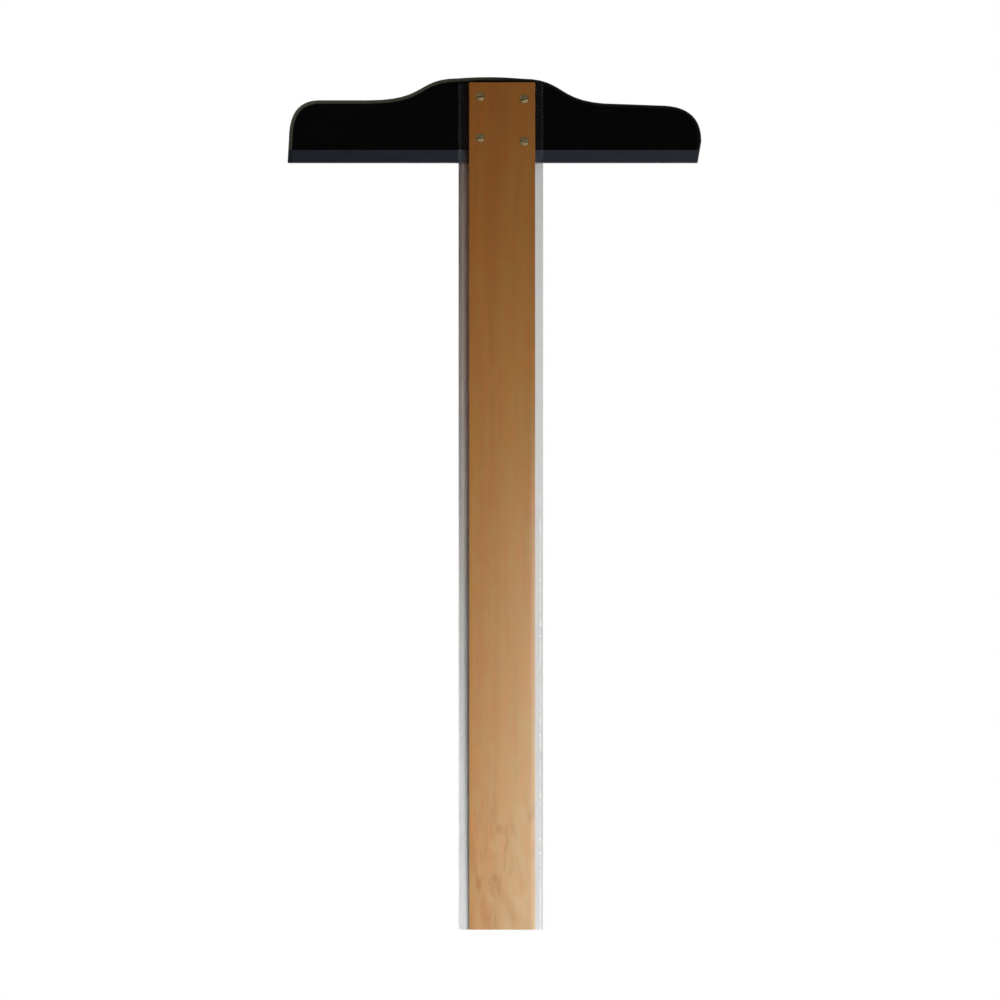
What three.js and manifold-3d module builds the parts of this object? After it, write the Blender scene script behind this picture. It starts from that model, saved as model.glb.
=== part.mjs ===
// A drafting T square with an 18 inch working length: a black lacquered head with a lined working
// edge, a hardwood blade with clear plastic drawing edges glued into its rebates, and four brass
// raised countersunk screws that hold the blade on the head.
//
// Frame, in millimetres: +Z up, +X to the right along the head, +Y from the working edge back over
// the head. The origin is where the blade's centre line crosses the head's working edge, at the
// level of the blade's underside. That is the corner that sits on the rim of a drawing board.

import * as THREE from "three";
import { mergeVertices } from "three/addons/utils/BufferGeometryUtils.js";
import Module from "manifold-3d";

const wasm = await Module();
wasm.setup();

// Blade
const WORKING_LENGTH = 457.2; // blade beyond the working edge: 18 inches
const BLADE_WIDTH = 50.5; // over both clear edges
const CORE_WIDTH = 39.3; // wood, as seen from above
const CORE_OFFSET = 0.8; // the wood lies this far to the right of the blade's centre line
const CORE_THICKNESS = 2.5;
const CORE_LAP = 47.6; // wood lying on the head
const CLEAR_LAP = 46.8; // clear edges lying on it
const REBATE_WIDTH = 3.5; // under each long side of the wood
const CLEAR_THICKNESS = 1.6;
const CLEAR_LAND = 0.7; // height left on the drawing edge below its bevel
const CLEAR_BEVEL = 1.7; // width of that bevel

// Head
const HEAD_THICKNESS = 12.7;
const HEAD_ROUNDING = 3.0; // radius along the head's top and bottom arrises
const ROUNDING_STEPS = 6;
const CROWN_DEPTH = 51.0; // from the working edge to the top of the crown
const STRIP_DEPTH = 7.4; // lining along the working edge
const CURVE_STEPS = 12;

// The two wings of the head, measured out from the blade's centre line and back from the working
// edge. The head is shaped by hand, so they differ a little.
const LEFT_WING = {
  edgeReach: 127.2, // to the end of the wing, at the working edge
  cornerReach: 126.4, // and where its round corner begins
  cornerFoot: 13.9, // depth at which the corner begins
  cornerWidth: 18.4,
  cornerTop: 37.2, // depth where the corner runs into the shoulder
  shoulder: 37.2, // depth where the shoulder runs into the slope
  slopeFoot: 79.0, // where the shoulder starts to rise
  slopeTop: 25.0, // where the slope meets the crown
  crownEdge: 50.3, // depth there
};
const RIGHT_WING = {
  edgeReach: 117.4,
  cornerReach: 119.6,
  cornerFoot: 12.8,
  cornerWidth: 25.3,
  cornerTop: 34.1,
  shoulder: 35.0,
  slopeFoot: 70.0,
  slopeTop: 12.4,
  crownEdge: 50.1,
};

// How long the handles of the outline's curves are, as shares of each curve's width or height
const CORNER_HANDLES = { up: 0.8, along: 0.53 };
const SLOPE_HANDLES = { foot: 0.66, top: 0.48 };

// Screws: slotted, raised countersunk, number 4 by 3/8 inch
const SCREW_HEAD_RADIUS = 2.75;
const SCREW_SHANK_RADIUS = 1.4;
const SCREW_CONE = SCREW_HEAD_RADIUS - SCREW_SHANK_RADIUS; // height of the 90 degree cone under the head
const SCREW_DOME = 0.65; // height of the raised head above its rim
const SCREW_RIM = CORE_THICKNESS - 0.05; // the rim lies just below the wood
const SCREW_LENGTH = 9.5; // below the rim
const SCREW_POINT = 2.0; // length of the tapered tip
const SCREW_SLOT = { width: 0.8, depth: 0.95 };
const THREAD_ROOT_RADIUS = 1.05;
const THREAD_PITCH = 1.1;
const THREAD_COUNT = 5;
const HOLE_CLEARANCE = 0.15; // all round each screw
const PILOT_DEPTH = 7.4; // into the head
const DOME_STEPS = 4;
const ROUND_SIDES = 24;
const SCREWS = {
  screw_rear_left: { x: -12.2, y: 39.1, slotAngle: 8 },
  screw_rear_right: { x: 13.9, y: 37.7, slotAngle: 14 },
  screw_front_left: { x: -12.3, y: 14.6, slotAngle: -6 },
  screw_front_right: { x: 13.8, y: 12.5, slotAngle: -17 },
};

const FAR = 400; // larger than the head, for cutting boxes
const PAST = 1; // how far a cutting shape runs beyond the surface that it opens
const HALF_BLADE = BLADE_WIDTH / 2;
const HALF_CORE = CORE_WIDTH / 2;

// ---- Solids ----

// A closed mesh as a solid that can be cut and joined. Vertices that coincide are merged first.
function solidOf(geometry) {
  const bare = geometry.clone();
  bare.deleteAttribute("normal");
  bare.deleteAttribute("uv");
  const merged = mergeVertices(bare);
  return new wasm.Manifold(
    new wasm.Mesh({
      numProp: 3,
      vertProperties: merged.attributes.position.array,
      triVerts: new Uint32Array(merged.index.array),
    }),
  );
}

// A solid as a flat-shaded geometry.
function geometryOf(solid) {
  const mesh = solid.getMesh();
  const indexed = new THREE.BufferGeometry();
  indexed.setAttribute("position", new THREE.BufferAttribute(mesh.vertProperties, 3));
  indexed.setIndex(new THREE.BufferAttribute(mesh.triVerts, 1));
  const geometry = indexed.toNonIndexed();
  geometry.computeVertexNormals();
  return geometry;
}

// A box from its lowest and highest corners.
function block([x0, y0, z0], [x1, y1, z1]) {
  const geometry = new THREE.BoxGeometry(x1 - x0, y1 - y0, z1 - z0);
  return geometry.translate((x0 + x1) / 2, (y0 + y1) / 2, (z0 + z1) / 2);
}

// A bar along Y whose section is a list of [x, z] points, anticlockwise as seen looking along +Y.
function bar(section, yStart, yEnd) {
  const shape = new THREE.Shape(section.map(([x, z]) => new THREE.Vector2(x, z)));
  const geometry = new THREE.ExtrudeGeometry(shape, { depth: yEnd - yStart, bevelEnabled: false });
  return geometry.rotateX(Math.PI / 2).translate(0, yEnd, 0);
}

// A solid turned about Z from [radius, z] points that start and end on the axis, lowest first.
function turned(profile) {
  const points = profile.map(([r, z]) => new THREE.Vector2(r, z));
  return new THREE.LatheGeometry(points, ROUND_SIDES).rotateX(Math.PI / 2);
}

// ---- Head ----

// The outline of one wing as drawn on the right: from below the working edge, up the end, round
// the corner, along the shoulder and up the slope to the crown.
function wingOutline(wing) {
  const shoulderStart = wing.cornerReach - wing.cornerWidth;
  const cornerHeight = wing.cornerTop - wing.cornerFoot;
  const slopeWidth = wing.slopeFoot - wing.slopeTop;
  const path = new THREE.Path();
  path.moveTo(wing.edgeReach, -STRIP_DEPTH);
  path.lineTo(wing.edgeReach, 0);
  path.lineTo(wing.cornerReach, wing.cornerFoot);
  path.bezierCurveTo(
    wing.cornerReach, wing.cornerFoot + CORNER_HANDLES.up * cornerHeight,
    shoulderStart + CORNER_HANDLES.along * wing.cornerWidth, wing.cornerTop,
    shoulderStart, wing.cornerTop,
  );
  path.lineTo(wing.slopeFoot, wing.shoulder);
  path.bezierCurveTo(
    wing.slopeFoot - SLOPE_HANDLES.foot * slopeWidth, wing.shoulder,
    wing.slopeTop + SLOPE_HANDLES.top * slopeWidth, wing.crownEdge,
    wing.slopeTop, wing.crownEdge,
  );
  return path.getPoints(CURVE_STEPS);
}

function headOutline() {
  const right = wingOutline(RIGHT_WING);
  const left = wingOutline(LEFT_WING).map(({ x, y }) => new THREE.Vector2(-x, y)).reverse();
  const crownMiddle = (RIGHT_WING.slopeTop - LEFT_WING.slopeTop) / 2;
  const crown = new THREE.QuadraticBezierCurve(
    new THREE.Vector2(RIGHT_WING.slopeTop, RIGHT_WING.crownEdge),
    new THREE.Vector2(crownMiddle, 2 * CROWN_DEPTH - (RIGHT_WING.crownEdge + LEFT_WING.crownEdge) / 2),
    new THREE.Vector2(-LEFT_WING.slopeTop, LEFT_WING.crownEdge),
  );
  return new THREE.Shape([...right, ...crown.getPoints(CURVE_STEPS).slice(1, -1), ...left]);
}

// The head and its lining in one, with rounded arrises and reaching past the working edge.
function headBlank() {
  const geometry = new THREE.ExtrudeGeometry(headOutline(), {
    depth: HEAD_THICKNESS - 2 * HEAD_ROUNDING,
    bevelThickness: HEAD_ROUNDING,
    bevelSize: HEAD_ROUNDING,
    bevelOffset: -HEAD_ROUNDING,
    bevelSegments: ROUNDING_STEPS,
  });
  return solidOf(geometry.translate(0, 0, HEAD_ROUNDING - HEAD_THICKNESS));
}

function headStock(blank) {
  const behindStrip = solidOf(block([-FAR, STRIP_DEPTH, -FAR], [FAR, FAR, FAR]));
  let head = blank.intersect(behindStrip);
  for (const screw of Object.values(SCREWS)) head = head.subtract(solidOf(pilotHole(screw)));
  return head;
}

function workingEdgeStrip(blank) {
  return blank.intersect(solidOf(block([-FAR, 0, -FAR], [FAR, STRIP_DEPTH, FAR])));
}

// ---- Blade ----

// The wood, with a rebate under each long side and four countersunk holes.
function bladeCore() {
  const inner = HALF_CORE - REBATE_WIDTH;
  const section = [
    [-inner, 0],
    [inner, 0],
    [inner, CLEAR_THICKNESS],
    [HALF_CORE, CLEAR_THICKNESS],
    [HALF_CORE, CORE_THICKNESS],
    [-HALF_CORE, CORE_THICKNESS],
    [-HALF_CORE, CLEAR_THICKNESS],
    [-inner, CLEAR_THICKNESS],
  ];
  // The two lengths keep an edge between them on the underside, over the working edge: the length
  // beyond it is the face that lies on the paper.
  let core = solidOf(bar(section, -WORKING_LENGTH, 0)).add(solidOf(bar(section, 0, CORE_LAP)));
  core = core.translate(CORE_OFFSET, 0, 0);
  for (const screw of Object.values(SCREWS)) core = core.subtract(solidOf(countersunkHole(screw)));
  return core;
}

// One clear edge, on the side of +X (side 1) or -X (side -1). Its inner part lies in the rebate.
function clearEdge(side) {
  const inner = HALF_CORE - REBATE_WIDTH + side * CORE_OFFSET;
  const rightSection = [
    [inner, 0],
    [HALF_BLADE, 0],
    [HALF_BLADE, CLEAR_LAND],
    [HALF_BLADE - CLEAR_BEVEL, CLEAR_THICKNESS],
    [inner, CLEAR_THICKNESS],
  ];
  const section = side > 0 ? rightSection : rightSection.map(([x, z]) => [-x, z]).reverse();
  return solidOf(bar(section, -WORKING_LENGTH, CLEAR_LAP));
}

// ---- Screws and their holes ----

// The hole through the blade for one screw, wider than the screw all round.
function countersunkHole({ x, y }) {
  const rim = SCREW_HEAD_RADIUS + HOLE_CLEARANCE;
  const shank = SCREW_SHANK_RADIUS + HOLE_CLEARANCE;
  const profile = [
    [0, -PAST],
    [shank, -PAST],
    [shank, SCREW_RIM - SCREW_CONE],
    [rim, SCREW_RIM],
    [rim, CORE_THICKNESS + PAST],
    [0, CORE_THICKNESS + PAST],
  ];
  return turned(profile).translate(x, y, 0);
}

// The blind hole in the head for one screw, with a shallow pointed bottom.
function pilotHole({ x, y }) {
  const radius = SCREW_SHANK_RADIUS + HOLE_CLEARANCE;
  const profile = [
    [0, -PILOT_DEPTH],
    [radius, -PILOT_DEPTH + radius / 2],
    [radius, PAST],
    [0, PAST],
  ];
  return turned(profile).translate(x, y, 0);
}

// One screw in its place. The thread is a row of ridges, and the dome is part of a sphere.
function screw({ x, y, slotAngle }) {
  const tip = SCREW_RIM - SCREW_LENGTH;
  const profile = [[0, tip]];
  for (let i = 0; i < THREAD_COUNT; i++) {
    const root = tip + SCREW_POINT + i * THREAD_PITCH;
    profile.push([THREAD_ROOT_RADIUS, root]);
    profile.push([SCREW_SHANK_RADIUS, root + THREAD_PITCH / 2]);
  }
  const threadEnd = tip + SCREW_POINT + THREAD_COUNT * THREAD_PITCH;
  profile.push([THREAD_ROOT_RADIUS, threadEnd]);
  profile.push([SCREW_SHANK_RADIUS, threadEnd + THREAD_PITCH / 2]);
  profile.push([SCREW_SHANK_RADIUS, SCREW_RIM - SCREW_CONE]);
  const sphereRadius = (SCREW_HEAD_RADIUS ** 2 + SCREW_DOME ** 2) / (2 * SCREW_DOME);
  for (let i = 0; i <= DOME_STEPS; i++) {
    const radius = SCREW_HEAD_RADIUS * (1 - i / DOME_STEPS);
    const drop = sphereRadius - Math.sqrt(sphereRadius ** 2 - radius ** 2);
    profile.push([radius, SCREW_RIM + SCREW_DOME - drop]);
  }
  return solidOf(turned(profile)).subtract(solidOf(slotCutter(slotAngle))).translate([x, y, 0]);
}

// The bar that cuts a screw's slot, for a screw that stands at the origin.
function slotCutter(angle) {
  const top = SCREW_RIM + SCREW_DOME;
  const halfWidth = SCREW_SLOT.width / 2;
  const cutter = block([-FAR, -halfWidth, top - SCREW_SLOT.depth], [FAR, halfWidth, top + PAST]);
  return cutter.rotateZ(THREE.MathUtils.degToRad(angle));
}

// ---- Materials ----

function material(color, roughness, metalness) {
  return new THREE.MeshStandardMaterial({ color, roughness, metalness });
}

function blackLacquer() {
  return material(0x0a0a0b, 0.35, 0);
}

function liningPlastic() {
  return material(0x24282d, 0.4, 0);
}

function varnishedWood() {
  return material(0xa8774a, 0.38, 0);
}

function clearPlastic() {
  const clear = material(0xdfe6e6, 0.06, 0);
  clear.transparent = true;
  clear.opacity = 0.35;
  return clear;
}

function brass() {
  return material(0xb59a4c, 0.3, 1);
}

// ---- Assembly ----

const tSquare = new THREE.Group();

function addPiece(name, solid, look) {
  const mesh = new THREE.Mesh(geometryOf(solid), look);
  mesh.name = name;
  tSquare.add(mesh);
}

const blank = headBlank();
addPiece("head_stock", headStock(blank), blackLacquer());
addPiece("working_edge_strip", workingEdgeStrip(blank), liningPlastic());
addPiece("blade_core", bladeCore(), varnishedWood());
addPiece("clear_edge_left", clearEdge(-1), clearPlastic());
addPiece("clear_edge_right", clearEdge(1), clearPlastic());
for (const [name, place] of Object.entries(SCREWS)) addPiece(name, screw(place), brass());

export default tSquare;
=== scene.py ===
"""The looks of the T square: a black lacquered head with a lined working edge, a varnished hardwood
blade with clear plastic drawing edges, and four slotted brass screws.

Everything is in metres, in the part's own frame: +Z up, +X to the right along the head, +Y from the
working edge back over the head. The blade points along -Y, and its underside is at z = 0.
"""

import math

import bmesh
import bpy
from mathutils import Matrix, Vector


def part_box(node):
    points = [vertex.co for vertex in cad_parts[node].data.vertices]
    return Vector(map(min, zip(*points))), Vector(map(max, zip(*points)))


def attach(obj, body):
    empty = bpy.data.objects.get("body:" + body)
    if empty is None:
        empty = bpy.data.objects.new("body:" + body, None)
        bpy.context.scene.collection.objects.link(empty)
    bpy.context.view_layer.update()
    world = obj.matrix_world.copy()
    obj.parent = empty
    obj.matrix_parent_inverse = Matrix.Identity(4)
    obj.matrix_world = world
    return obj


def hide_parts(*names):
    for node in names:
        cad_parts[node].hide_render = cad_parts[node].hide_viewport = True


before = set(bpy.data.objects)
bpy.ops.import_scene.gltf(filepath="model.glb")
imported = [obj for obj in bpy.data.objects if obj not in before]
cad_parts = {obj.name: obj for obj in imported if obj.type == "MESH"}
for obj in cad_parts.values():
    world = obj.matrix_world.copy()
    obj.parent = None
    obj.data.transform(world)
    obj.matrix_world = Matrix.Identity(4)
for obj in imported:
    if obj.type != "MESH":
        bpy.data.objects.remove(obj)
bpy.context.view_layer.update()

MM = 0.001

# ---- Places and sizes, from the frame ----

core_low, core_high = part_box("blade_core")
head_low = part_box("head_stock")[0]

BLADE_END = core_low.y
WOOD_TOP = core_high.z
FLOOR_LEVEL = head_low.z
BLADE_LEVEL = core_low.z
FLOOR_SIZE = 20.0

# ---- Mesh helpers ----

WELD_DISTANCE = 0.001 * MM
FLAT_ANGLE = math.radians(0.5)
SHARP_ANGLE = math.radians(20)


def add_object(name, bm, material):
    """A new object from a bmesh, with smooth shading."""
    mesh = bpy.data.meshes.new(name)
    bm.to_mesh(mesh)
    bm.free()
    mesh.shade_smooth()
    piece = bpy.data.objects.new(name, mesh)
    bpy.context.scene.collection.objects.link(piece)
    piece.data.materials.append(material)
    return piece


def ease_edges(piece, width, steps=3):
    """Rounds the sharp edges a little, and keeps the flat faces flat to the eye."""
    bevel = piece.modifiers.new("eased_edges", "BEVEL")
    bevel.width = width
    bevel.segments = steps
    bevel.limit_method = "ANGLE"
    bevel.angle_limit = SHARP_ANGLE
    bevel.use_clamp_overlap = True
    normals = piece.modifiers.new("face_normals", "WEIGHTED_NORMAL")
    normals.keep_sharp = True


def stand_for(piece, node):
    """The piece takes the CAD node's place."""
    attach(piece, "root")
    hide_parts(node)


def finer_copy(name, node, material, edge_width):
    """A piece of the CAD node's shape, with whole flat faces and eased edges."""
    bm = bmesh.new()
    bm.from_mesh(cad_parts[node].data)
    bmesh.ops.remove_doubles(bm, verts=bm.verts, dist=WELD_DISTANCE)
    bmesh.ops.dissolve_limit(bm, angle_limit=FLAT_ANGLE, verts=bm.verts, edges=bm.edges)
    piece = add_object(name, bm, material)
    ease_edges(piece, edge_width)
    stand_for(piece, node)
    return piece


# ---- Material helpers ----


def new_material(name):
    """A new material, and its still empty node tree."""
    material = bpy.data.materials.new(name)
    material.use_nodes = True
    tree = material.node_tree
    tree.nodes.clear()
    return material, tree


def add_node(tree, kind, inputs=None, **settings):
    """A shader node. Each input is a number, a colour, or another node's output socket."""
    made = tree.nodes.new("ShaderNode" + kind)
    for key, value in settings.items():
        setattr(made, key, value)
    for key, value in (inputs or {}).items():
        if isinstance(value, bpy.types.NodeSocket):
            tree.links.new(value, made.inputs[key])
        else:
            made.inputs[key].default_value = value
    return made


def place(tree):
    """The point in the part's frame, in metres."""
    return add_node(tree, "TexCoord").outputs["Object"]


def noise(tree, point, pitch, detail=2.0, roughness=0.5):
    """Noise of 0 to 1, about 0.5, whose features measure pitch = (x, y, z) metres."""
    scale = [1 / p for p in pitch]
    scaled = add_node(tree, "Mapping", {"Vector": point, "Scale": scale})
    inputs = {
        "Vector": scaled.outputs["Vector"],
        "Scale": 1.0,
        "Detail": detail,
        "Roughness": roughness,
    }
    return add_node(tree, "TexNoise", inputs).outputs["Fac"]


def ramp(tree, value, start, end, low=0.0, high=1.0):
    """Runs smoothly from low, where value is start, to high, where it is end."""
    inputs = {
        "Value": value,
        "From Min": start,
        "From Max": end,
        "To Min": low,
        "To Max": high,
    }
    made = add_node(tree, "MapRange", inputs, interpolation_type="SMOOTHSTEP")
    return made.outputs["Result"]


def blend_colours(tree, share, first, second, mode="MIX"):
    """The first colour where share is 0, and the second, or their product, where it is 1."""
    inputs = {"Fac": share, "Color1": first, "Color2": second}
    return add_node(tree, "MixRGB", inputs, blend_type=mode).outputs["Color"]


def colour_stops(tree, value, stops):
    """Colours blended evenly between stops of (value, colour), listed from the highest value down."""
    first = stops[0][0]
    last = stops[-1][0]
    inputs = {"Value": value, "From Min": first, "From Max": last}
    share = add_node(tree, "MapRange", inputs).outputs["Result"]
    scale = add_node(tree, "ValToRGB", {"Fac": share})
    elements = scale.color_ramp.elements
    while len(elements) < len(stops):
        elements.new(0.5)
    for element, (at, colour) in zip(elements, stops):
        element.position = (at - first) / (last - first)
        element.color = (*colour, 1.0)
    return scale.outputs["Color"]


def arithmetic(tree, operation, first, second):
    """The result of a sum, product or comparison of two numbers or sockets."""
    made = add_node(tree, "Math", operation=operation)
    for socket, value in zip(made.inputs, (first, second)):
        if isinstance(value, bpy.types.NodeSocket):
            tree.links.new(value, socket)
        else:
            socket.default_value = value
    return made.outputs["Value"]


def bump(tree, height, depth):
    """A normal for a relief of height 0 to 1, depth metres deep."""
    inputs = {"Height": height, "Distance": depth, "Strength": 1.0}
    return add_node(tree, "Bump", inputs).outputs["Normal"]


def finish_material(tree, inputs):
    """Ends a tree in one Principled shader with these inputs."""
    shader = add_node(tree, "BsdfPrincipled", inputs)
    output = add_node(tree, "OutputMaterial")
    tree.links.new(shader.outputs["BSDF"], output.inputs["Surface"])


def finish_mixed(tree, share, first, second, kind="OutputMaterial"):
    """Ends a tree in a mix of two shader nodes: the first where share is 0, the second where it is 1."""
    mixed = add_node(tree, "MixShader", {0: share, 1: first.outputs[0], 2: second.outputs[0]})
    output = add_node(tree, kind)
    tree.links.new(mixed.outputs[0], output.inputs["Surface"])


# ---- Materials ----


# Soft marks in the figured end of the wood: x, y, half width, half length (mm), lean (degrees), share.
DARK_FLECKS = [
    (-1.2, 60, 2.6, 4.0, 12, 0.8),
    (-3.4, 30.5, 2.3, 3.8, 14, 1.0),
    (-0.6, 24, 3.0, 12.0, 22, 0.6),
    (5.8, 12, 3.0, 13.0, 16, 0.6),
    (-13.4, 27.5, 1.8, 6.5, 6, 1.2),
    (-11.0, 12, 3.0, 13.0, 14, 0.6),
    (-16.5, 44, 2.6, 16.0, 2, 0.5),
]
LIGHT_FLECKS = [
    (-4.8, 49, 2.4, 5.0, 20, 0.7),
    (-6.2, 19, 2.2, 4.5, 20, 0.6),
    (11.8, 15, 4.0, 9.0, 10, 0.6),
    (12.5, 58, 4.5, 26.0, 4, 0.25),
    (2.4, 4, 3.0, 5.0, 12, 0.5),
]


def marks(tree, point, flecks):
    """How far a point lies inside soft ellipses given as in DARK_FLECKS: y is from the blade's end."""
    total = 0.0
    for x, y, half_width, half_length, lean, share in flecks:
        place_on = add_node(tree, "Mapping", {
            "Vector": point,
            "Location": (x * MM, BLADE_END + y * MM, WOOD_TOP),
            "Rotation": (0, 0, math.radians(lean)),
            "Scale": (half_width * MM, half_length * MM, 5 * MM),
        }, vector_type="TEXTURE")
        distance = add_node(tree, "VectorMath", {0: place_on.outputs["Vector"]}, operation="LENGTH")
        mark = ramp(tree, distance.outputs["Value"], 1.25, 0.2, 0.0, share)
        total = arithmetic(tree, "MAXIMUM", mark, total)
    return total


# The wood's tone along the blade, from the head to the free end: Y in metres, colour. Darker towards the head
# is painted shade.
WOOD_TONES_AND_PAINTED_SHADE = [
    (0.03, (0.284, 0.097, 0.0115)),
    (-0.19, (0.325, 0.136, 0.019)),
    (-0.30, (0.364, 0.17, 0.036)),
    (-0.44, (0.436, 0.231, 0.076)),
]


def varnished_wood():
    """Fine straight-grained hardwood along Y, figured at the free end, with painted shade towards the head
    and painted light on its right side.
    """
    material, tree = new_material("varnished_wood")
    point = place(tree)
    along = add_node(tree, "SeparateXYZ", {"Vector": point}).outputs["Y"]
    figured = ramp(tree, along, BLADE_END + 110 * MM, BLADE_END + 50 * MM)

    # The grain wanders a little, and more so in the figured end.
    drift = noise(tree, point, (60 * MM, 120 * MM, 60 * MM), detail=1.0)
    swirl = noise(tree, point, (9 * MM, 22 * MM, 9 * MM), detail=2.0)
    drift_reach = arithmetic(tree, "MULTIPLY", arithmetic(tree, "SUBTRACT", drift, 0.5), 8 * MM)
    swirl_reach = arithmetic(tree, "MULTIPLY", arithmetic(tree, "SUBTRACT", swirl, 0.5), 9 * MM)
    swirl_here = arithmetic(tree, "MULTIPLY", swirl_reach, figured)
    shift = add_node(tree, "CombineXYZ", {"X": arithmetic(tree, "ADD", drift_reach, swirl_here)})
    inputs = {0: point, 1: shift.outputs["Vector"]}
    grain_point = add_node(tree, "VectorMath", inputs, operation="ADD").outputs["Vector"]

    bands = noise(tree, grain_point, (4.5 * MM, 170 * MM, 8 * MM), detail=2.0)
    fibres = noise(tree, grain_point, (0.3 * MM, 24 * MM, 0.6 * MM), detail=3.0, roughness=0.6)
    pores = noise(tree, grain_point, (0.22 * MM, 2.6 * MM, 0.5 * MM), detail=1.0)
    hues = noise(tree, grain_point, (5 * MM, 26 * MM, 8 * MM), detail=3.0, roughness=0.6)
    mottle = noise(tree, point, (5 * MM, 9 * MM, 5 * MM), detail=3.0)

    tone = colour_stops(tree, along, WOOD_TONES_AND_PAINTED_SHADE)
    # Painted light and shade: paler on the right side, towards the key light, and deeper on the left, the
    # more so towards the free end.
    across = add_node(tree, "SeparateXYZ", {"Vector": point}).outputs["X"]
    paler = blend_colours(tree, 1.0, tone, (1.0, 1.11, 1.34, 1.0), "MULTIPLY")
    deeper = blend_colours(tree, 1.0, tone, (0.965, 0.94, 0.93, 1.0), "MULTIPLY")
    rightward = ramp(tree, across, core_low.x, core_high.x)
    pale_share = arithmetic(tree, "MULTIPLY", rightward, ramp(tree, along, 0.0, BLADE_END, 0.5, 1.0))
    wood_with_painted_side_light = blend_colours(tree, pale_share, deeper, paler)

    redder = blend_colours(tree, 1.0, wood_with_painted_side_light, (1.03, 0.93, 0.8, 1.0), "MULTIPLY")
    yellower = blend_colours(tree, 1.0, wood_with_painted_side_light, (0.97, 1.03, 1.0, 1.0), "MULTIPLY")
    hued = blend_colours(tree, ramp(tree, hues, 0.35, 0.65), redder, yellower)
    dark = blend_colours(tree, 1.0, hued, (0.86, 0.8, 0.72, 1.0), "MULTIPLY")
    light = blend_colours(tree, 1.0, hued, (1.06, 1.09, 1.12, 1.0), "MULTIPLY")
    banded = blend_colours(tree, ramp(tree, bands, 0.3, 0.7), dark, light)
    fine = blend_colours(tree, ramp(tree, fibres, 0.3, 0.7, 0.35, 0.75), banded, hued)
    mottled = blend_colours(tree, ramp(tree, mottle, 0.4, 0.75, 0.0, 0.5), fine, light)
    brown = blend_colours(tree, 1.0, hued, (0.72, 0.58, 0.42, 1.0), "MULTIPLY")
    pored = blend_colours(tree, ramp(tree, pores, 0.64, 0.78, 0.0, 0.5), mottled, brown)

    # The figured end: streaks and single flecks, their outlines feathered by the fibres.
    streaks = noise(tree, grain_point, (2.4 * MM, 16 * MM, 6 * MM), detail=3.0)
    streak_share = arithmetic(tree, "MULTIPLY", ramp(tree, streaks, 0.5, 0.72, 0.0, 0.55), figured)
    streaked = blend_colours(tree, streak_share, pored, brown)
    cream = blend_colours(tree, 1.0, hued, (1.06, 1.16, 1.3, 1.0), "MULTIPLY")
    amber = blend_colours(tree, 1.0, hued, (0.8, 0.6, 0.38, 1.0), "MULTIPLY")
    lightened = blend_colours(tree, marks(tree, point, LIGHT_FLECKS), streaked, cream)
    feather = ramp(tree, fibres, 0.25, 0.75, 0.6, 1.0)
    fleck_share = arithmetic(tree, "MULTIPLY", marks(tree, point, DARK_FLECKS), feather)
    colour = blend_colours(tree, fleck_share, lightened, amber)

    relief = arithmetic(tree, "ADD", arithmetic(tree, "MULTIPLY", pores, 0.5), fibres)
    finish_material(tree, {
        "Base Color": colour,
        "Roughness": ramp(tree, fibres, 0.2, 0.8, 0.38, 0.5),
        "Normal": bump(tree, relief, 0.012 * MM),
        "Specular IOR Level": 0.25,
        "Coat Weight": 0.55,
        "Coat Roughness": 0.2,
        "Coat IOR": 1.5,
    })
    return material


def black_lacquer():
    """Near-black satin lacquer, brushed on by hand and faintly uneven. Its upper arrises carry a painted
    reflection: an olive tint, broken by noise, strongest on the left wing, where light from the left rear
    catches them.
    """
    material, tree = new_material("black_lacquer")
    point = place(tree)
    brushed = noise(tree, point, (18 * MM, 1.2 * MM, 3 * MM), detail=3.0)
    peel = noise(tree, point, (1.6 * MM, 1.6 * MM, 1.6 * MM), detail=2.0)
    clouds = noise(tree, point, (30 * MM, 22 * MM, 22 * MM), detail=2.0)
    colour = blend_colours(tree, clouds, (0.0003, 0.0003, 0.0004, 1.0), (0.0011, 0.0011, 0.0012, 1.0))
    # Painted reflection: an olive tint on the upper arrises, strongest on the left wing, where light from the
    # left rear catches them.
    facing = add_node(tree, "SeparateXYZ", {"Vector": add_node(tree, "TexCoord").outputs["Normal"]})
    off_top = ramp(tree, facing.outputs["Z"], 0.995, 0.92)
    off_side = ramp(tree, facing.outputs["Z"], 0.2, 0.6)
    across = add_node(tree, "SeparateXYZ", {"Vector": point}).outputs["X"]
    left_reflection_share = ramp(tree, across, 15 * MM, -15 * MM, 0.15, 1.0)
    arris = arithmetic(tree, "MULTIPLY", arithmetic(tree, "MULTIPLY", off_top, off_side), left_reflection_share)
    arris_reflection = arithmetic(tree, "MULTIPLY", arris, ramp(tree, peel, 0.3, 0.7, 0.7, 1.0))
    colour = blend_colours(tree, arris_reflection, colour, (0.022, 0.0235, 0.0155, 1.0))
    relief = arithmetic(tree, "ADD", peel, arithmetic(tree, "MULTIPLY", brushed, 0.6))
    finish_material(tree, {
        "Base Color": colour,
        "Roughness": ramp(tree, brushed, 0.25, 0.75, 0.15, 0.22),
        "Normal": bump(tree, relief, 0.01 * MM),
        "Specular IOR Level": 0.18,
    })
    return material


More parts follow.
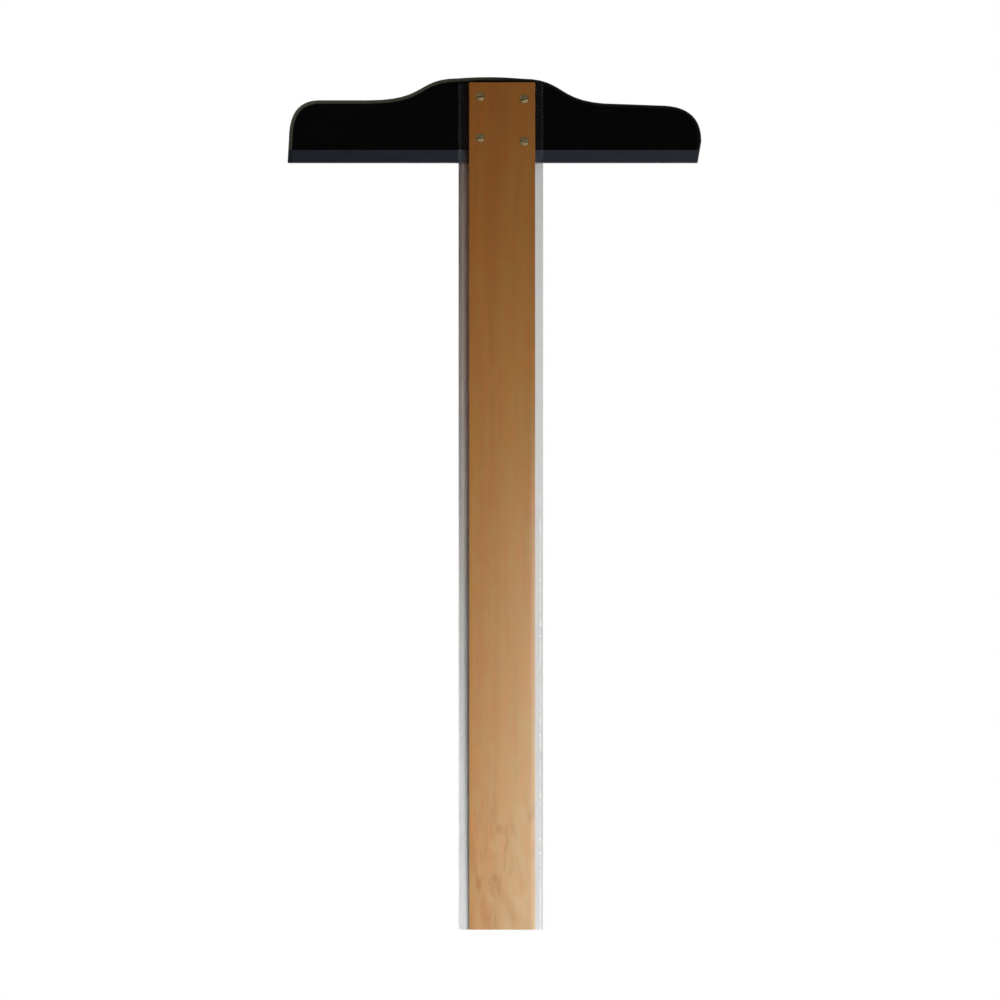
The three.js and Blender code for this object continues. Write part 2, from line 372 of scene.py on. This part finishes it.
def lining_plastic():
    """Dark slate plastic, rubbed along its length by drawing boards."""
    material, tree = new_material("lining_plastic")
    point = place(tree)
    rubs = noise(tree, point, (30 * MM, 0.25 * MM, 0.4 * MM), detail=3.0, roughness=0.6)
    clouds = noise(tree, point, (25 * MM, 3 * MM, 6 * MM), detail=2.0)
    plain = blend_colours(tree, clouds, (0.012, 0.0145, 0.021, 1.0), (0.021, 0.025, 0.035, 1.0))
    colour = blend_colours(tree, ramp(tree, rubs, 0.55, 0.75, 0.0, 0.4), plain, (0.04, 0.046, 0.056, 1.0))
    finish_material(tree, {
        "Base Color": colour,
        "Roughness": ramp(tree, rubs, 0.3, 0.7, 0.3, 0.42),
        "Normal": bump(tree, rubs, 0.006 * MM),
        "Specular IOR Level": 0.25,
    })
    return material


ACRYLIC_IOR = 1.49
FULL_MIRROR = 0.9  # the Fresnel share above which a surface mirrors everything from inside


def clear_plastic():
    """Clear acrylic with hairline scratches, tinted brown beside the wood in the left edge as painted shadow.

    Light reaches what lies beneath it in a straight line, only tinted, so its shadow is clear too.
    A ray that has been mirrored inside it, and would be again, leaves it in the same way instead of
    being trapped.
    """
    material, tree = new_material("clear_plastic")
    point = place(tree)
    hairlines = noise(tree, point, (0.2 * MM, 45 * MM, 0.4 * MM), detail=2.0)
    clouds = noise(tree, point, (4 * MM, 30 * MM, 4 * MM), detail=2.0)
    parts = add_node(tree, "SeparateXYZ", {"Vector": point})
    clear = blend_colours(tree, clouds, (0.975, 0.985, 0.98, 1.0), (0.99, 0.995, 0.99, 1.0))
    # Painted shadow: a brown tint beside the wood in the left edge, wider and deeper towards the head, where
    # the wood's shadow on the floor beneath is widest.
    from_wood = arithmetic(tree, "SUBTRACT", core_low.x, parts.outputs["X"])
    reach = ramp(tree, parts.outputs["Y"], BLADE_END, 0.0, 0.7 * MM, 5 * MM)
    painted_wood_shadow = ramp(tree, arithmetic(tree, "DIVIDE", from_wood, reach), 1.0, 0.1)
    left = arithmetic(tree, "LESS_THAN", parts.outputs["X"], 0.0)
    strength = ramp(tree, parts.outputs["Y"], BLADE_END, 0.0, 0.2, 1.0)
    share = arithmetic(tree, "MULTIPLY", arithmetic(tree, "MULTIPLY", painted_wood_shadow, left), strength)
    tint = blend_colours(tree, share, clear, (0.8, 0.6, 0.48, 1.0))
    plastic = add_node(tree, "BsdfPrincipled", {
        "Base Color": tint,
        "Roughness": ramp(tree, hairlines, 0.6, 0.8, 0.0, 0.04),
        "Transmission Weight": 1.0,
        "IOR": ACRYLIC_IOR,
    })
    let_through = add_node(tree, "BsdfTransparent", {"Color": tint})
    rays = add_node(tree, "LightPath")
    mirrored = arithmetic(tree, "GREATER_THAN", rays.outputs["Glossy Depth"], 0.5)
    fresnel = add_node(tree, "Fresnel", {"IOR": ACRYLIC_IOR}).outputs["Fac"]
    mirror = arithmetic(tree, "GREATER_THAN", fresnel, FULL_MIRROR)
    trapped = arithmetic(tree, "MULTIPLY", mirrored, mirror)
    straight = arithmetic(tree, "MAXIMUM", rays.outputs["Is Shadow Ray"], trapped)
    finish_mixed(tree, straight, plastic, let_through)
    return material


def aged_brass():
    """Dull brass, tarnished unevenly, and pitted too finely to see from afar."""
    material, tree = new_material("aged_brass")
    point = place(tree)
    tarnish = noise(tree, point, (1.1 * MM, 1.1 * MM, 1.1 * MM), detail=3.0)
    specks = noise(tree, point, (0.18 * MM, 0.18 * MM, 0.18 * MM), detail=2.0)
    bright = (0.27, 0.205, 0.1, 1.0)
    dull = (0.16, 0.115, 0.045, 1.0)
    colour = blend_colours(tree, ramp(tree, tarnish, 0.35, 0.7), bright, dull)
    finish_material(tree, {
        "Base Color": colour,
        "Metallic": ramp(tree, tarnish, 0.35, 0.7, 0.9, 0.6),
        "Roughness": ramp(tree, tarnish, 0.3, 0.7, 0.55, 0.7),
        "Normal": bump(tree, specks, 0.008 * MM),
    })
    return material


# ---- Screws ----

SCREW_SIDES = 64
DOME_STEPS = 10
DOME_HEIGHT = 0.65 * MM
SLOT_WIDTH = 0.8 * MM
SLOT_DEPTH = 0.95 * MM
SLOT_ANGLES = {
    "screw_rear_left": 8,
    "screw_rear_right": 14,
    "screw_front_left": -6,
    "screw_front_right": -17,
}
SHANK_SHARE = 0.51  # of the head's radius
THREAD_SHARE = 0.38
THREAD_RIDGES = 5


def screw_profile(radius, tip, top):
    """(radius, height) points of a raised countersunk screw, from its tip to the top of its dome."""
    rim = top - DOME_HEIGHT
    shank = SHANK_SHARE * radius
    root = THREAD_SHARE * radius
    cone_foot = rim - (radius - shank)
    pitch = 1.1 * MM
    thread_start = tip + 2 * MM
    points = [(0, tip)]
    for i in range(THREAD_RIDGES):
        points.append((root, thread_start + i * pitch))
        points.append((shank, thread_start + (i + 0.5) * pitch))
    points.append((root, thread_start + THREAD_RIDGES * pitch))
    points.append((shank, thread_start + (THREAD_RIDGES + 0.5) * pitch))
    points.append((shank, cone_foot))
    points.append((radius, rim))
    sphere = (radius**2 + DOME_HEIGHT**2) / (2 * DOME_HEIGHT)
    for i in range(1, DOME_STEPS + 1):
        r = radius * (1 - i / DOME_STEPS)
        points.append((r, top - sphere + math.sqrt(sphere**2 - r**2)))
    return points


def turn(profile, sides):
    """A closed turned solid from (radius, height) points that start and end on the axis."""
    bm = bmesh.new()
    verts = [bm.verts.new((r, 0, z)) for r, z in profile]
    edges = [bm.edges.new(pair) for pair in zip(verts, verts[1:])]
    bmesh.ops.spin(
        bm,
        geom=verts + edges,
        cent=(0, 0, 0),
        axis=(0, 0, 1),
        angle=2 * math.pi,
        steps=sides,
        use_merge=True,
    )
    bmesh.ops.remove_doubles(bm, verts=bm.verts, dist=WELD_DISTANCE)
    bmesh.ops.recalc_face_normals(bm, faces=bm.faces)
    return bm


def slot_cutter(centre, top, angle):
    """A bar across the screw's head."""
    bm = bmesh.new()
    bmesh.ops.create_cube(bm, size=1.0)
    size = (20 * MM, SLOT_WIDTH, 2 * SLOT_DEPTH)
    turned = Matrix.Rotation(math.radians(angle), 4, "Z") @ Matrix.Diagonal((*size, 1.0))
    bm.transform(Matrix.Translation((centre.x, centre.y, top)) @ turned)
    mesh = bpy.data.meshes.new("slot_cutter")
    bm.to_mesh(mesh)
    bm.free()
    return bpy.data.objects.new("slot_cutter", mesh)


def apply_modifiers(piece):
    """Replaces the piece's mesh by the one that its modifiers make."""
    evaluated = piece.evaluated_get(bpy.context.evaluated_depsgraph_get())
    mesh = bpy.data.meshes.new_from_object(evaluated)
    piece.modifiers.clear()
    piece.data = mesh


def build_screw(node, material):
    """A turned screw with a slot cut across its dome, in the CAD screw's place."""
    low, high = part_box(node)
    centre = (low + high) / 2
    radius = (high.x - low.x) / 2
    bm = turn(screw_profile(radius, low.z, high.z), SCREW_SIDES)
    bm.transform(Matrix.Translation((centre.x, centre.y, 0)))
    piece = add_object("brass_" + node, bm, material)
    cutter = slot_cutter(centre, high.z, SLOT_ANGLES[node])
    bpy.context.scene.collection.objects.link(cutter)
    cut = piece.modifiers.new("slot", "BOOLEAN")
    cut.operation = "DIFFERENCE"
    cut.solver = "EXACT"
    cut.object = cutter
    apply_modifiers(piece)
    bpy.data.objects.remove(cutter)
    ease_edges(piece, 0.06 * MM, steps=2)
    stand_for(piece, node)
    return piece


# ---- Blade ----

CROWN_WIDTH = 3.5 * MM  # the wood's upper face falls away this far in from each long side
CROWN_DROP = 0.09 * MM
CROWN_STEPS = 6


def build_blade(material):
    """The wooden blade, its upper face falling away softly along both long sides."""
    piece = finer_copy("wooden_blade", "blade_core", material, 0.3 * MM)
    middle = (core_low.x + core_high.x) / 2
    flat_half = (core_high.x - core_low.x) / 2 - CROWN_WIDTH
    bm = bmesh.new()
    bm.from_mesh(piece.data)
    for side in (-1, 1):
        for i in range(CROWN_STEPS):
            cut = middle + side * (flat_half + CROWN_WIDTH * i / CROWN_STEPS)
            whole = [*bm.verts, *bm.edges, *bm.faces]
            bmesh.ops.bisect_plane(bm, geom=whole, plane_co=(cut, 0, 0), plane_no=(1, 0, 0))
    for vert in bm.verts:
        inward = abs(vert.co.x - middle) - flat_half
        if inward > 0 and vert.co.z > WOOD_TOP - WELD_DISTANCE:
            vert.co.z -= CROWN_DROP * (inward / CROWN_WIDTH) ** 2
    bm.to_mesh(piece.data)
    bm.free()
    piece.data.shade_smooth()


# ---- Assembly ----

GLUE_OVERLAP = 0.03 * MM  # the clear edges are bedded this far into the wood, and clear of the head


def build_clear_edge(name, node, towards_wood, material):
    """A clear drawing edge, moved a hair towards the wood: +1 to the right, -1 to the left."""
    piece = finer_copy(name, node, material, 0.15 * MM)
    piece.location = (towards_wood * GLUE_OVERLAP, 0, GLUE_OVERLAP)


def build_object():
    """Builds every piece, and returns the lacquered head and the screws."""
    head = finer_copy("lacquered_head", "head_stock", black_lacquer(), 0.2 * MM)
    finer_copy("edge_lining", "working_edge_strip", lining_plastic(), 0.25 * MM)
    build_blade(varnished_wood())
    acrylic = clear_plastic()
    build_clear_edge("drawing_edge_left", "clear_edge_left", 1, acrylic)
    build_clear_edge("drawing_edge_right", "clear_edge_right", -1, acrylic)
    brass = aged_brass()
    screws = [build_screw(node, brass) for node in SLOT_ANGLES]
    return head, screws


# ---- Floor, light and camera ----

CARD_SPREAD = 5 * MM  # how far light travels beneath the card's surface
CARD_SHADE_AT_END = 0.44
CARD_SHADE_AT_HEAD = 0.65


def build_floor():
    """A plain pale floor under the object, which lies on its blade's end and the head's front edge.

    Seen directly, it is as white as a lit cove. Through the clear edges it shows as a sheet of
    pale card, which lets the light spread beneath its surface and so softens the blade's shadow.
    The card is darker towards the blade's end: painted shade, which tempers the key light there.
    """
    slope = (BLADE_LEVEL - FLOOR_LEVEL) / BLADE_END
    bm = bmesh.new()
    bmesh.ops.create_grid(bm, x_segments=1, y_segments=1, size=FLOOR_SIZE)
    bm.transform(Matrix.Translation((0, 0, FLOOR_LEVEL)) @ Matrix.Rotation(math.atan(slope), 4, "X"))
    material, tree = new_material("floor")
    along = add_node(tree, "SeparateXYZ", {"Vector": place(tree)}).outputs["Y"]
    # Painted shade: the card is darker towards the blade's end, where the key light is strongest.
    shade = ramp(tree, along, BLADE_END, head_low.y, CARD_SHADE_AT_END, CARD_SHADE_AT_HEAD)
    card = add_node(tree, "BsdfPrincipled", {
        "Base Color": shade,
        "Roughness": 1.0,
        "Specular IOR Level": 0.0,
        "Subsurface Weight": 1.0,
        "Subsurface Radius": (1.0, 1.0, 1.0),
        "Subsurface Scale": CARD_SPREAD,
    })
    white = add_node(tree, "Emission", {"Color": (1.0, 1.0, 1.0, 1.0), "Strength": 1.0})
    finish_mixed(tree, add_node(tree, "LightPath").outputs["Is Camera Ray"], card, white)
    add_object("floor", bm, material)


LOW_UPWARD = 0.4  # the upward part of a direction below which the room is at its brightest
HIGH_UPWARD = 0.9
OVERHEAD_GLOW = 0.045
HORIZON_GLOW = 0.09
HORIZON_THROUGH_PLASTIC = 0.8


def build_world():
    """A dim room, darkest overhead, that looks white behind the floor's edge and through clear plastic."""
    world = bpy.data.worlds.new("studio")
    bpy.context.scene.world = world
    world.use_nodes = True
    tree = world.node_tree
    tree.nodes.clear()
    direction = add_node(tree, "TexCoord").outputs["Generated"]
    upward = add_node(tree, "SeparateXYZ", {"Vector": direction}).outputs["Z"]
    rays = add_node(tree, "LightPath")
    unscattered = arithmetic(tree, "LESS_THAN", rays.outputs["Diffuse Depth"], 0.5)
    entered = arithmetic(tree, "GREATER_THAN", rays.outputs["Transmission Depth"], 0.5)
    through = arithmetic(tree, "MULTIPLY", entered, unscattered)
    horizon = ramp(tree, through, 0.0, 1.0, HORIZON_GLOW, HORIZON_THROUGH_PLASTIC)
    glow = ramp(tree, upward, LOW_UPWARD, HIGH_UPWARD, horizon, OVERHEAD_GLOW)
    dim = add_node(tree, "Background", {"Color": (1.0, 1.0, 1.0, 1.0), "Strength": glow})
    white = add_node(tree, "Background", {"Color": (1.0, 1.0, 1.0, 1.0), "Strength": 1.0})
    finish_mixed(tree, rays.outputs["Is Camera Ray"], dim, white, "OutputWorld")


def add_panel(name, centre, target, size, radiance):
    """A soft white rectangular light at centre, facing target, as bright all over as radiance says."""
    light = bpy.data.lights.new(name, "AREA")
    light.shape = "RECTANGLE"
    light.size, light.size_y = size
    light.energy = radiance * math.pi * size[0] * size[1]
    lamp = bpy.data.objects.new(name, light)
    lamp.location = centre
    lamp.rotation_euler = (Vector(target) - Vector(centre)).to_track_quat("-Z", "Y").to_euler()
    lamp.visible_camera = False
    bpy.context.scene.collection.objects.link(lamp)
    return lamp


def light_only(lamp, pieces):
    """The lamp lights these pieces and nothing else."""
    lit = bpy.data.collections.new(lamp.name + "_lit")
    for piece in pieces:
        lit.objects.link(piece)
    lamp.light_linking.receiver_collection = lit


def build_lights(head, screws):
    """The key over the blade's right side, and a small light on the head's left rear arris and the screws."""
    key = add_panel(
        "key",
        centre=(0.225, -0.40, 0.55),
        target=(0.0, -0.38, 0.0),
        size=(0.40, 0.40),
        radiance=9.9,
    )
    key.visible_transmission = False
    rim = add_panel(
        "rim",
        centre=(-0.24, 0.20, 0.12),
        target=(-0.09, 0.03, 0.0),
        size=(0.30, 0.20),
        radiance=9.0,
    )
    rim.visible_glossy = False
    light_only(rim, [head, *screws])


LENS = 300.0
SENSOR = 36.0
VIEW_WIDTH = 0.5957  # what the frame takes in at the level of the blade
VIEW_CENTRE = (-0.0005, -0.2012)


def build_camera():
    """Straight above the object, with the blade pointing down the picture."""
    camera = bpy.data.cameras.new("camera")
    camera.lens = LENS
    camera.sensor_width = SENSOR
    camera.clip_start = 0.01
    camera.clip_end = 100.0
    viewer = bpy.data.objects.new("camera", camera)
    viewer.location = (*VIEW_CENTRE, WOOD_TOP + VIEW_WIDTH * LENS / SENSOR)
    bpy.context.scene.collection.objects.link(viewer)
    bpy.context.scene.camera = viewer


head, screws = build_object()
build_floor()
build_world()
build_lights(head, screws)
build_camera()
bpy.context.scene.view_settings.view_transform = "Standard"
